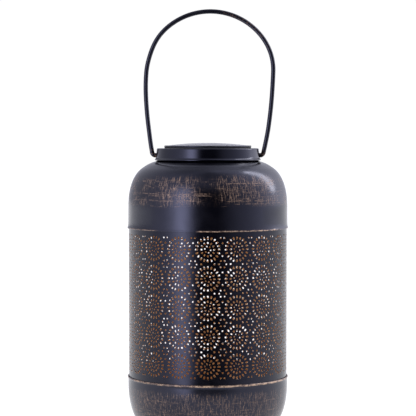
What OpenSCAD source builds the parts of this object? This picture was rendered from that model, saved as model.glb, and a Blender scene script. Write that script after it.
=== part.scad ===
// Pierced sheet-metal lantern with a wire bail and a drop-in solar lamp module.
// Millimetres, +Z up. Origin: centre of the foot ring's plane, on the body's axis.
// +X runs through the bail's two pivots.

/* [Body] */
// Outer radius of the rolled pierced screen
screen_r = 69.7; // [69:0.1:70.2]
// Thickness of the screen, dome and base sheet
sheet_t = 0.5; // [0.4:0.05:0.6]
// Height of the base cup's top edge, at the middle of its bead
base_h = 47.5; // [46:0.5:49]
// Height of the dome's lower lip
lip_z = 178.6; // [177:0.2:180]
// Height at which the shoulder starts to turn in
shoulder_z = 195; // [193:0.5:196]
// Rise of the shoulder from there to the neck's crease
shoulder_rise = 40; // [39:0.5:41]
// Fullness of the shoulder and base curves, 2 is an ellipse
fullness = 2.4; // [2.2:0.05:2.6]
// Radius of the flat foot ring's outer edge
foot_r = 45; // [43:0.5:47]
// How far the screen tucks into the base and under the dome
tuck = 5.5; // [4:0.5:7]

/* [Neck and collar] */
// Outer radius of the neck upstand
neck_r = 44.2; // [44:0.05:44.25]
// Height of the top face of the collar
collar_top = 248.9; // [248.7:0.1:249]
// Radius of the opening that the lamp module drops into
mouth_r = 36.9; // [36.8:0.1:37.4]
// Radius of the collar's rolled lower bead
bead_r = 0.9; // [0.7:0.1:1.0]

/* [Bail handle] */
// Radius of the handle wire
wire_r = 2.0; // [1.6:0.1:2.0]
// Height of the handle's pivot axis
pivot_z = 242.7; // [242.4:0.1:243]
// Height of the wire's centre line at the top of the bail
bail_top = 369.1; // [366:0.5:372]
// Radius of the bail's crown
crown_r = 58; // [57:0.5:59]
// Half angle of the crown arc, in degrees
crown_a = 45; // [44:0.5:46]
// Widest half-width of the bail, to the wire's centre line
bail_half_w = 56.1; // [55.8:0.1:56.4]
// Radius of the long, nearly straight legs
leg_r = 360; // [350:5:370]
// Bend radius of the hooks that turn in to the pivots
hook_r = 3; // [2.8:0.1:3.2]
// Radial clearance of the wire in its pivot holes
pivot_gap = 0.05; // [0.04:0.01:0.08]

/* [Lamp module] */
// Outer radius of the module's cup
cup_r = 36.4; // [36:0.1:36.5]
// Outer radius of the module's flange
flange_r = 38.4; // [38:0.1:38.8]
// Height of the flange's top face
flange_top = 251.3; // [251.2:0.1:251.6]
// Height of the crown of the clear panel cover
cover_top = 253.6; // [253:0.1:254.5]
// Height of the underside of the module's bottom cover
cover_z = 226.4; // [226.2:0.1:226.6]
// Travel of the switch slider
switch_travel = 2.4; // [2:0.1:2.4]
// Radius of an AA cell
cell_r = 7.1; // [6.9:0.05:7.2]

/* [Hidden] */
$fn = 96;
shell_r = screen_r + 0.5;              // outside of the dome above its lip
dome_a = shell_r - foot_r;             // radial half-axis of the shoulder curve
base_a = shell_r + 0.1 - foot_r;       // radial half-axis of the base curve
base_z0 = base_h - 3.5;                // height where the base curve starts to turn in
neck_in = neck_r - 0.7;
pin_r = wire_r + 0.02;                // the pins are dressed round, a hair over the wire
pin_hole = pin_r + pivot_gap;
// bail: crown arc, corner arc, leg arc and hook, each tangent to the next
corner_x = crown_r * sin(crown_a);
corner_z = bail_top - crown_r + crown_r * cos(crown_a);
corner_r = (bail_half_w - corner_x) / (1 - sin(crown_a));
widest_z = corner_z - corner_r * cos(crown_a);
leg_a = asin((widest_z - pivot_z - hook_r) / (leg_r - hook_r));
hook_x = bail_half_w - leg_r + (leg_r - hook_r) * cos(leg_a);
// last climb of the shoulder towards the neck
lift_r = 56.5;
neck_lift = 2.6;
// lamp module
deck_z = 248.6;                        // underside of the deck that carries the panel
deck_top = 249.8;
floor_z = cover_z + 1.6;               // inner face of the bottom cover
bosses = [[27, 16], [-27, 16], [0, -31.2]];
cell_y = -12;
cell_z = 236.2;
lamp_y = 5;
board_z = 233;
board_t = 1.6;
posts = [[-11.5, 21.5], [11.5, 21.5]];
sw_y = 17;

// quarter of a superellipse, from (x0 + a, z0) to (x0, z0 + b)
function quarter(x0, z0, a, b, n, steps = 22) =
  [for (i = [0:steps]) let (t = 90 * i / steps)
    [x0 + a * pow(max(cos(t), 0), 2 / n), z0 + b * pow(max(sin(t), 0), 2 / n)]];
function rev(l) = [for (i = [len(l) - 1:-1:0]) l[i]];
function arc(cx, cz, r, a0, a1, steps = 6) =
  [for (i = [0:steps]) let (a = a0 + (a1 - a0) * i / steps) [cx + r * cos(a), cz + r * sin(a)]];
// points along a cubic curve with four control points
function bez(p, n) = [for (i = [0:n]) let (t = i / n, u = 1 - t)
  u * u * u * p[0] + 3 * u * u * t * p[1] + 3 * u * t * t * p[2] + t * t * t * p[3]];
function unit(v) = v / norm(v);
function tang(p, i) = i == 0 ? unit(p[1] - p[0]) : i == len(p) - 1 ? unit(p[i] - p[i - 1]) : unit(p[i + 1] - p[i - 1]);

// raises points near the neck, so the shoulder still climbs a little where it meets the collar
function crowned(l) = [for (q = l)
  [q[0], q[1] + neck_lift * pow(max(0, min(1, (lift_r - q[0]) / (lift_r - foot_r))), 1.15)]];

// round tube swept along points, ref is a direction that the path never takes
module sweep(p, r, sides, ref, ends = [], split = false) {
  n = len(p);
  pts = [for (i = [0:n - 1]) let (t = len(ends) == 2 && i == 0 ? ends[0] : len(ends) == 2 && i == n - 1 ? ends[1] : tang(p, i), u = unit(cross(ref, t)), v = cross(t, u))
    for (k = [0:sides - 1]) p[i] + r * (cos(360 * k / sides) * u + sin(360 * k / sides) * v)];
  faces = concat(
    [[for (k = [sides - 1:-1:0]) k]],
    [[for (k = [0:sides - 1]) (n - 1) * sides + k]],
    split ? [] : [for (i = [0:n - 2]) for (k = [0:sides - 1]) let (a = i * sides + k, b = i * sides + (k + 1) % sides)
      [a, b, b + sides, a + sides]],
    // a side of a helix isn't flat, so it is cut along its diagonal
    split ? [for (i = [0:n - 2]) for (k = [0:sides - 1]) let (a = i * sides + k, b = i * sides + (k + 1) % sides)
      [a, b, b + sides]] : [],
    split ? [for (i = [0:n - 2]) for (k = [0:sides - 1]) let (a = i * sides + k, b = i * sides + (k + 1) % sides)
      [a, b + sides, a + sides]] : []);
  polyhedron(pts, [for (f = faces) rev(f)]);
}

module pivot_holes() {
  translate([0, 0, pivot_z]) rotate([0, 90, 0]) cylinder(r = pin_hole, h = 120, center = true);
}

module base_cup() {
  // spun cup: rolled bead at its top edge, full curve down to a foot ring, recessed floor
  color([0.10, 0.095, 0.10]) difference() {
    rotate_extrude() union() {
      polygon(concat(
        [[0, 1.6], [foot_r - 5.6, 1.6], [foot_r - 4, 0]],
        [for (q = rev(quarter(foot_r, 0, base_a, base_z0, fullness))) [q[0], base_z0 - q[1]]],
        [[shell_r + 0.1, base_h], [shell_r + 0.1 - sheet_t, base_h]],
        [for (q = quarter(foot_r, 0, base_a - sheet_t, base_z0 - sheet_t, fullness)) [q[0], base_z0 - q[1]]],
        [[foot_r - 4, sheet_t], [foot_r - 5.6, 1.6 + sheet_t], [0, 1.6 + sheet_t]]));
      translate([shell_r - 0.15, base_h]) circle(r = 0.85);
    }
    translate([0, 0, base_h - 3]) cylinder(r = shell_r + 0.1 - sheet_t, h = 10);
  }
}

module perforated_screen() {
  // rolled sheet, its piercings are too many and too small to be single bores here
  color([0.13, 0.12, 0.13]) translate([0, 0, base_h - tuck]) difference() {
    cylinder(r = screen_r, h = lip_z - base_h + 2 * tuck);
    translate([0, 0, -1]) cylinder(r = screen_r - sheet_t, h = lip_z - base_h + 2 * tuck + 2);
  }
}

module shoulder_dome() {
  // spun dome: flared lip over the screen, full shoulder, short neck upstand
  color([0.11, 0.10, 0.11]) difference() {
    rotate_extrude() polygon(concat(
      [[shell_r + 0.25, lip_z], [shell_r + 0.75, lip_z], [shell_r + 0.3, lip_z + 2.4], [shell_r + 0.05, lip_z + 7]],
      crowned(quarter(foot_r, shoulder_z, dome_a, shoulder_rise, fullness)),
      [[neck_r, shoulder_z + shoulder_rise + neck_lift + 0.4], [neck_r, collar_top - 0.8], [neck_in, collar_top - 0.8],
       [neck_in, shoulder_z + shoulder_rise + neck_lift - sheet_t]],
      rev(crowned(quarter(foot_r, shoulder_z, dome_a - 0.48, shoulder_rise - sheet_t, fullness))),
      [[screen_r + 0.02, lip_z + 6], [shell_r - 0.2, lip_z + 2]]));
    pivot_holes();
  }
}

module neck_collar() {
  // smooth turned-over ring: rolled bead below, slightly conical wall, flat top with a hemmed mouth
  color([0.07, 0.07, 0.085]) difference() {
    rotate_extrude() union() {
      polygon(concat(
        [[neck_r + 1.3, collar_top - 10.7], [neck_r + 2.1, collar_top - 10.7], [neck_r + 1.65, collar_top - 8.5]],
        arc(neck_r - 0.05, collar_top - 0.9, 0.9, 8, 90),
        [[mouth_r, collar_top], [mouth_r, collar_top - 2.2], [mouth_r + 0.6, collar_top - 2.2],
         [mouth_r + 0.6, collar_top - 0.7], [neck_r + 0.02, collar_top - 0.7], [neck_r + 0.15, collar_top - 1.2],
         [neck_r + 0.95, collar_top - 8.5]]));
      translate([neck_r + 1.8, collar_top - 10.3]) circle(r = bead_r, $fn = 32);
    }
    pivot_holes();
  }
}

module bail_handle() {
  // one bent wire: crown, corner, leg and hook arcs, then a straight pin through collar and neck
  function seg(cx, cz, r, a0, a1, n) = [for (i = [0:n - 1]) let (a = a0 + (a1 - a0) * i / n) [cx + r * cos(a), 0, cz + r * sin(a)]];
  half = concat(
    [[hook_x - 1, 0, pivot_z], [hook_x, 0, pivot_z]],
    [for (q = [1:5]) let (a = -90 + (90 - leg_a) * q / 6) [hook_x + hook_r * cos(a), 0, pivot_z + hook_r + hook_r * sin(a)]],
    seg(bail_half_w - leg_r, widest_z, leg_r, -leg_a, 0, 4),
    seg(corner_x - corner_r * sin(crown_a), widest_z, corner_r, 0, 90 - crown_a, 7),
    seg(0, bail_top - crown_r, crown_r, 90 - crown_a, 90, 7));
  path = concat(half, [[0, 0, bail_top]], [for (q = rev(half)) [-q[0], 0, q[2]]]);
  color([0.09, 0.085, 0.09]) union() {
    sweep(path, wire_r, 12, [0, 1, 0], [[1, 0, 0], [1, 0, 0]]);
    for (m = [0, 1]) mirror([m, 0, 0]) {
      translate([neck_in - 0.6, 0, pivot_z]) rotate([0, 90, 0]) cylinder(r = pin_r, h = hook_x - neck_in + 0.5);
      // upset end that keeps the wire in the neck
      translate([neck_in - 1.7, 0, pivot_z]) rotate([0, 90, 0]) cylinder(r = wire_r + 0.8, h = 1.2);
    }
  }
}

module module_housing() {
  color([0.04, 0.04, 0.045]) difference() {
    union() {
      rotate_extrude() polygon([
        [cup_r - 1.5, floor_z], [cup_r, floor_z], [cup_r, deck_top], [flange_r - 0.3, deck_top],
        [flange_r, deck_top + 0.3], [flange_r, flange_top - 0.4], [flange_r - 0.4, flange_top],
        [cup_r - 0.7, flange_top], [cup_r - 0.7, deck_top], [0, deck_top], [0, deck_z], [cup_r - 1.5, deck_z]]);
      for (b = bosses) translate([b[0], b[1], floor_z + 0.1]) cylinder(r = 3, h = deck_z - floor_z + 0.1);
    }
    for (b = bosses) translate([b[0], b[1], floor_z - 1]) cylinder(r = 1.3, h = 13);
    translate([-8, 27, deck_z - 1]) cylinder(r = 2.2, h = 4);
  }
}

module panel_substrate() {
  color([0.03, 0.06, 0.05]) translate([0, 0, deck_top]) cylinder(r = cup_r - 0.8, h = 1);
}

module solar_cells() {
  // four thin strips, laid side by side
  color([0.04, 0.05, 0.13]) for (i = [0:3])
    translate([-23.2 + i * 11.7, -23, deck_top + 1]) cube([11.3, 46, 0.2]);
}

module cell_busbars() {
  color([0.75, 0.75, 0.78]) for (i = [0:3])
    translate([-23.2 + i * 11.7 + 5.15, -23, deck_top + 1.2]) cube([1, 46, 0.08]);
}

module panel_cover() {
  // clear cast cover, slightly crowned
  cover_r = cup_r - 0.8;
  rise = cover_top - flange_top;
  dome_r = (cover_r * cover_r + rise * rise) / (2 * rise);
  color([0.85, 0.88, 0.9, 0.4]) rotate_extrude() polygon(concat(
    [[cover_r - 1.3, deck_top + 1], [cover_r, deck_top + 1]],
    [for (i = [0:12]) let (x = cover_r * (1 - i / 12)) [x, cover_top - dome_r + sqrt(dome_r * dome_r - x * x)]],
    [[0, deck_top + 1.4], [cover_r - 1.3, deck_top + 1.4]]));
}

module sealing_gasket() {
  color([0.15, 0.15, 0.15]) translate([0, 0, collar_top + 0.1]) difference() {
    cylinder(r = flange_r - 0.2, h = deck_top - collar_top - 0.1);
    translate([0, 0, -1]) cylinder(r = cup_r + 0.1, h = 3);
  }
}

module module_bottom_cover() {
  color([0.05, 0.05, 0.055]) difference() {
    union() {
      translate([0, 0, cover_z]) cylinder(r = cup_r, h = 1.6);
      // locating lip
      difference() {
        translate([0, 0, floor_z - 0.1]) cylinder(r = cup_r - 1.6, h = 1.6);
        translate([0, 0, floor_z - 1]) cylinder(r = cup_r - 3, h = 4);
        for (b = bosses) translate([b[0], b[1], floor_z]) cylinder(r = 3.3, h = 4);
      }
      // battery tray
      for (y = [cell_y - 8.6, cell_y + 7.4]) translate([-26, y, floor_z - 0.1]) cube([52, 1.2, 8]);
      for (x = [-28.2, 27.2]) translate([x, cell_y - 6.5, floor_z - 0.1]) cube([1, 13, 12]);
      translate([29.3, cell_y, floor_z - 0.1]) cylinder(r = 2.5, h = 4);
      for (p = posts) translate([p[0], p[1], floor_z - 0.1]) cylinder(r = 2.2, h = board_z - floor_z + 0.1);
    }
    // battery opening with a ledge for its door
    translate([-25, cell_y - 6.8, cover_z - 1]) cube([50, 13.6, 4]);
    translate([-26.5, cell_y - 7.2, cover_z - 1]) cube([53, 14.4, 2.2]);
    translate([25, cell_y - 4.2, cover_z - 1]) cube([9, 8.4, 2.2]);
    translate([29.3, cell_y, cover_z - 1]) cylinder(r = 1.05, h = 5.4);
    for (b = bosses) {
      translate([b[0], b[1], cover_z - 1]) cylinder(r = 1.4, h = 4);
      translate([b[0], b[1], cover_z - 1]) cylinder(r = 2.7, h = 2.1);
    }
    for (p = posts) translate([p[0], p[1], floor_z + 1]) cylinder(r = 0.85, h = 6);
    translate([0, lamp_y, cover_z - 1]) cylinder(r = 2.8, h = 4);
    translate([-3.4, sw_y - 1.3, cover_z - 1]) cube([6.8, 2.6, 4]);
  }
}

module cross_head(r, h, up) {
  // pan head with a cross recess, its recess on the free side
  difference() {
    cylinder(r = r, h = h);
    translate([0, 0, up ? h - 0.5 : -0.1]) {
      translate([-r * 0.6, -0.3, 0]) cube([r * 1.2, 0.6, 0.6]);
      translate([-0.3, -r * 0.6, 0]) cube([0.6, r * 1.2, 0.6]);
    }
  }
}

module cover_screws() {
  color([0.6, 0.6, 0.62]) for (b = bosses) translate([b[0], b[1], 0]) {
    translate([0, 0, cover_z + 0.1]) cross_head(2.5, 1, false);
    translate([0, 0, cover_z + 1.1]) cylinder(r = 1.25, h = 10);
  }
}

module battery_door() {
  color([0.05, 0.05, 0.055]) difference() {
    union() {
      translate([-26.3, cell_y - 7, cover_z + 0.05]) cube([52.6, 14, 1.1]);
      translate([26, cell_y - 4, cover_z + 0.05]) cube([6.5, 8, 1.1]);
      // grip ribs
      for (i = [0:4]) translate([-22 + i * 2.4, cell_y - 4, cover_z - 0.4]) cube([1, 8, 0.6]);
    }
    translate([29.3, cell_y, cover_z - 1]) cylinder(r = 1.2, h = 4);
  }
}

module battery_door_screw() {
  color([0.6, 0.6, 0.62]) translate([29.3, cell_y, cover_z - 0.9]) {
    cross_head(1.9, 0.95, false);
    translate([0, 0, 0.95]) cylinder(r = 1, h = 4);
  }
}

module battery_cell() {
  color([0.25, 0.45, 0.25]) translate([0, cell_y, cell_z]) rotate([0, 90, 0]) {
    translate([0, 0, -24.9]) cylinder(r = cell_r, h = 49.2);
    translate([0, 0, 24.3]) cylinder(r = 2.7, h = 1);
  }
}

module battery_spring() {
  // flat plate with a small conical coil against the cell; the wire starts in the plate and its turns stand clear of each other
  color([0.75, 0.75, 0.76]) {
    translate([-27.15, cell_y - 5.5, cell_z - 7]) cube([0.4, 11, 14.2]);
    sweep([for (i = [0:30]) let (a = i * 30, r = 5 - i / 30 * 2.4) [i == 0 ? -26.95 : -26.42 + i / 30 * 1.1, cell_y + r * cos(a), cell_z + r * sin(a)]],
      0.28, 6, [1, 0, 0], split = true);
  }
}

module battery_contact_plate() {
  color([0.75, 0.75, 0.76]) {
    translate([26.75, cell_y - 5.5, cell_z - 3.8]) cube([0.4, 11, 11]);
    translate([25.35, cell_y, cell_z]) rotate([0, 90, 0]) cylinder(r = 2, h = 1.45);
  }
}

module circuit_board() {
  color([0.05, 0.25, 0.12]) difference() {
    translate([-15, 0, board_z]) cube([30, 25, board_t]);
    for (p = posts) translate([p[0], p[1], board_z - 1]) cylinder(r = 1, h = 4);
    for (x = [-1.27, 1.27]) translate([x, lamp_y, board_z - 1]) cylinder(r = 0.35, h = 4);
  }
}

module board_components() {
  t = board_z + board_t;
  color([0.12, 0.12, 0.13]) {
    // controller, inductor, capacitor and resistors
    translate([-9.5, 7, t]) cube([5, 4, 1.5]);
    translate([8, 8, t]) cylinder(r = 3.2, h = 4.5);
    translate([-10, 15, t]) cylinder(r = 2.5, h = 6);
    for (i = [0:2]) translate([1 + i * 3, 16, t]) cube([1.25, 2, 0.5]);
  }
}

module board_screws() {
  color([0.6, 0.6, 0.62]) for (p = posts) translate([p[0], p[1], 0]) {
    translate([0, 0, floor_z + 1.6]) cylinder(r = 0.8, h = board_z + board_t - floor_z - 1.6);
    translate([0, 0, board_z + board_t]) cross_head(1.9, 1, true);
  }
}

module led_lamp() {
  color([0.95, 0.9, 0.7, 0.8]) translate([0, lamp_y, 0]) {
    translate([0, 0, board_z - 1]) cylinder(r = 2.9, h = 1);
    rotate_extrude() polygon(concat([[0, board_z - 1]], [[2.5, board_z - 1]],
      [for (i = [0:8]) let (a = i * 90 / 8) [2.5 * cos(a), cover_z + 1.2 - 2.5 * sin(a)]]));
    for (x = [-1.27, 1.27]) translate([x, 0, board_z - 0.5]) cylinder(r = 0.25, h = 3.2);
  }
}

module lamp_diffuser() {
  // frosted cap over the lamp
  color([0.95, 0.94, 0.9, 0.7]) translate([0, lamp_y, 0]) rotate_extrude() polygon(concat(
    [[7.6, cover_z], [9.4, cover_z], [9.4, cover_z - 1], [8.6, cover_z - 1]],
    [for (i = [0:10]) let (a = i * 9) [8.6 * cos(a), cover_z - 3.4 - 5.4 * sin(a)]],
    [for (i = [10:-1:0]) let (a = i * 9) [7.6 * cos(a), cover_z - 3.4 - 4.4 * sin(a)]]));
}

module switch_body() {
  color([0.55, 0.56, 0.58]) difference() {
    translate([-4.6, sw_y - 2.3, board_z - 4]) cube([9.2, 4.6, 4]);
    translate([-2.4, sw_y - 1, board_z - 5]) cube([4.8, 2, 3.2]);
  }
}

module switch_slider() {
  // at rest it stands at the OFF end of its travel
  color([0.04, 0.04, 0.045]) translate([-switch_travel / 2, sw_y, 0]) {
    translate([-0.95, -0.9, cover_z - 0.6]) cube([1.9, 1.8, board_z - cover_z - 1.6]);
    translate([-2, -1.5, cover_z - 1.8]) cube([4, 3, 1.4]);
    for (i = [-1:1]) translate([i * 1.2 - 0.25, -1.5, cover_z - 2.1]) cube([0.5, 3, 0.4]);
  }
}

module positive_leads() {
  color([0.6, 0.05, 0.04]) {
    sweep(bez([[-7.2, 27, deck_top], [-7.2, 27, 240], [3.5, 22, 246], [3.5, 22, board_z + board_t]], 12), 0.6, 8, [1, 0.3, 0], [[0, 0, -1], [0, 0, -1]]);
    sweep(bez([[26.9, cell_y + 3, cell_z + 7.2], [26.9, cell_y + 4, 248], [12.5, 3, 247], [12.5, 3, board_z + board_t]], 12), 0.6, 8, [0.3, 1, 0], [[0, 0, 1], [0, 0, -1]]);
  }
}

module negative_leads() {
  color([0.03, 0.03, 0.03]) {
    sweep(bez([[-9, 27, deck_top], [-9, 27, 240], [-4.5, 22, 246], [-4.5, 22, board_z + board_t]], 12), 0.6, 8, [1, 0.3, 0], [[0, 0, -1], [0, 0, -1]]);
    sweep(bez([[-26.9, cell_y + 3, cell_z + 7.2], [-26.9, cell_y + 4, 248], [-12.5, 3, 247], [-12.5, 3, board_z + board_t]], 12), 0.6, 8, [0.3, 1, 0], [[0, 0, 1], [0, 0, -1]]);
  }
}

base_cup();
perforated_screen();
shoulder_dome();
neck_collar();
bail_handle();
module_housing();
panel_substrate();
solar_cells();
cell_busbars();
panel_cover();
sealing_gasket();
module_bottom_cover();
cover_screws();
battery_door();
battery_door_screw();
battery_cell();
battery_spring();
battery_contact_plate();
circuit_board();
board_components();
board_screws();
led_lamp();
lamp_diffuser();
switch_body();
switch_slider();
positive_leads();
negative_leads();
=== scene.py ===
import math

import bpy
import bmesh
import numpy as np
from mathutils import Matrix, Vector
from mathutils.geometry import delaunay_2d_cdt


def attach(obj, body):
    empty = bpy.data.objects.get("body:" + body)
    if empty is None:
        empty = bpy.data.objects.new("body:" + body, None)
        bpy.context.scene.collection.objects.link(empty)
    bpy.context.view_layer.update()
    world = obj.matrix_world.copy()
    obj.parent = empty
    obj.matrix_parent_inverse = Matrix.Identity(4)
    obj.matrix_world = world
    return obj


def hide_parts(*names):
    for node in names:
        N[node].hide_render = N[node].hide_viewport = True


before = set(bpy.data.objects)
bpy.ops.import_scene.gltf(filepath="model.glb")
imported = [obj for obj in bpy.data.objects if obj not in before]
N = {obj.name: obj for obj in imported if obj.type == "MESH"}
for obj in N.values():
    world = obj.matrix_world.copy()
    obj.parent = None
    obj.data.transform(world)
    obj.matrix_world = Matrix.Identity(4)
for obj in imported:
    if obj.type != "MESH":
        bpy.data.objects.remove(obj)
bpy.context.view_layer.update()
MM = 0.001
scene = bpy.context.scene

# ---------------------------------------------------------------- camera
cam_data = bpy.data.cameras.new("camera")
cam_data.lens = 153.95
cam_data.sensor_width = 36.0
cam_data.clip_end = 60
cam = bpy.data.objects.new("camera", cam_data)
scene.collection.objects.link(cam)
cam.location = (0.00018, -1.570, 0.262)
cam.rotation_euler = (math.radians(90 - 2.403), 0, 0)
scene.camera = cam

# ---------------------------------------------------------------- studio
scene.view_settings.view_transform = "Standard"
scene.view_settings.look = "None"
world = bpy.data.worlds.new("studio")
scene.world = world
world.use_nodes = True
wt = world.node_tree
wt.nodes.clear()


def wnode(kind, **kw):
    n = wt.nodes.new(kind)
    for k, v in kw.items():
        setattr(n, k, v)
    return n


def wmath(op, a, b=None, clamp=False):
    n = wnode("ShaderNodeMath", operation=op, use_clamp=clamp)
    for i, v in enumerate((a, b)):
        if v is None:
            continue
        if isinstance(v, (int, float)):
            n.inputs[i].default_value = v
        else:
            wt.links.new(v, n.inputs[i])
    return n.outputs[0]


tc = wnode("ShaderNodeTexCoord")
sep = wnode("ShaderNodeSeparateXYZ")
wt.links.new(tc.outputs["Generated"], sep.inputs[0])
# azimuth from -Y towards +X, in degrees
az = wmath("MULTIPLY", wmath("ARCTAN2", sep.outputs[0], wmath("MULTIPLY", sep.outputs[1], -1)), 180 / math.pi)
el = wmath("MULTIPLY", wmath("ARCSINE", sep.outputs[2]), 180 / math.pi)


def ramp(value, lo, hi):
    m = wnode("ShaderNodeMapRange", interpolation_type="SMOOTHSTEP", clamp=True)
    wt.links.new(value, m.inputs[0])
    m.inputs[1].default_value = lo
    m.inputs[2].default_value = hi
    m.inputs[3].default_value = 0
    m.inputs[4].default_value = 1
    return m.outputs[0]


PEAK = 6.0


def around(stops):
    """Brightness of the room by direction: a strip window on the left, a dark gap at the camera, a slow rise to the right."""
    r = wnode("ShaderNodeValToRGB")
    e = r.color_ramp.elements
    while len(e) > 1:
        e.remove(e[-1])
    for i, (a_, v) in enumerate(stops):
        q = e[0] if i == 0 else e.new((a_ + 180) / 360)
        q.position = (a_ + 180) / 360
        q.color = (v / PEAK, v / PEAK, v / PEAK, 1)
    wt.links.new(wmath("ADD", wmath("DIVIDE", az, 360), 0.5), r.inputs[0])
    return wmath("MULTIPLY", r.outputs[0], PEAK)


low = around([(-180, 0.66), (-138, 0.6), (-112, 0.6), (-84, 0.85), (-68, 1.1), (-58, 1.5), (-50, 2.4), (-42, 4.2), (-34, 4.2),
              (-27, 2.4), (-21, 0.6), (-15, 0.08), (-9, 0.03), (15, 0.03), (22, 0.10), (29, 0.22), (36, 0.38), (45, 0.5), (55, 0.65),
              (65, 0.8), (75, 1.0), (87, 1.3), (99, 1.6), (112, 1.95), (132, 1.5), (152, 0.95), (180, 0.66)])
high = around([(-180, 0.7), (-110, 0.75), (-60, 1.0), (-35, 0.85), (-12, 0.45), (18, 0.40), (40, 0.6), (65, 1.1), (90, 1.7), (125, 1.7),
               (155, 1.0), (180, 0.7)])
up = ramp(el, 16, 40)
env = wmath("ADD", wmath("MULTIPLY", low, wmath("SUBTRACT", 1.0, up)), wmath("MULTIPLY", high, up))
env = wmath("MULTIPLY", env, wmath("SUBTRACT", 1.0, wmath("MULTIPLY", ramp(el, 45, 75), 0.35)))
lp = wnode("ShaderNodeLightPath")
mixv = wmath("MAXIMUM", env, wmath("MULTIPLY", lp.outputs["Is Camera Ray"], 1.02))
bg = wnode("ShaderNodeBackground")
hue = wnode("ShaderNodeMix", data_type="RGBA")
wt.links.new(lp.outputs["Is Camera Ray"], hue.inputs[0])
hue.inputs[6].default_value = (0.93, 0.94, 1.10, 1)
hue.inputs[7].default_value = (1, 1, 1, 1)
wt.links.new(hue.outputs[2], bg.inputs[0])
wt.links.new(mixv, bg.inputs[1])
wout = wnode("ShaderNodeOutputWorld")
wt.links.new(bg.outputs[0], wout.inputs[0])


def area(name, az_deg, el_deg, dist, w, h, energy, target=(0, 0, 0.15), colour=(1, 1, 1)):
    a, e = math.radians(az_deg), math.radians(el_deg)
    d = Vector((math.sin(a) * math.cos(e), -math.cos(a) * math.cos(e), math.sin(e)))
    data = bpy.data.lights.new(name, "AREA")
    data.shape = "RECTANGLE"
    data.size, data.size_y, data.energy, data.color = w, h, energy, colour
    o = bpy.data.objects.new(name, data)
    scene.collection.objects.link(o)
    o.location = Vector(target) + d * dist
    o.rotation_euler = (-d).to_track_quat("-Z", "Y").to_euler()
    o.visible_camera = False
    return o


area("soft_right", 112, 36, 1.5, 0.30, 1.3, 7.5)
inner = bpy.data.lights.new("inner_fill", "POINT")
inner.energy, inner.shadow_soft_size, inner.color = 0.016, 0.03, (1.0, 0.93, 0.84)
inner_ob = bpy.data.objects.new("inner_fill", inner)
scene.collection.objects.link(inner_ob)
inner_ob.location = (0, 0, 0.115)
inner_ob.visible_camera = False

# ---------------------------------------------------------------- floor
bm = bmesh.new()
S = 12.0
pts = [(-S, -0.27), (S, -0.27), (S, S), (-S, S)]
bm.faces.new([bm.verts.new((x, y, 0)) for x, y in pts])
me = bpy.data.meshes.new("floor")
bm.to_mesh(me)
bm.free()
floor = bpy.data.objects.new("floor", me)
scene.collection.objects.link(floor)


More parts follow.
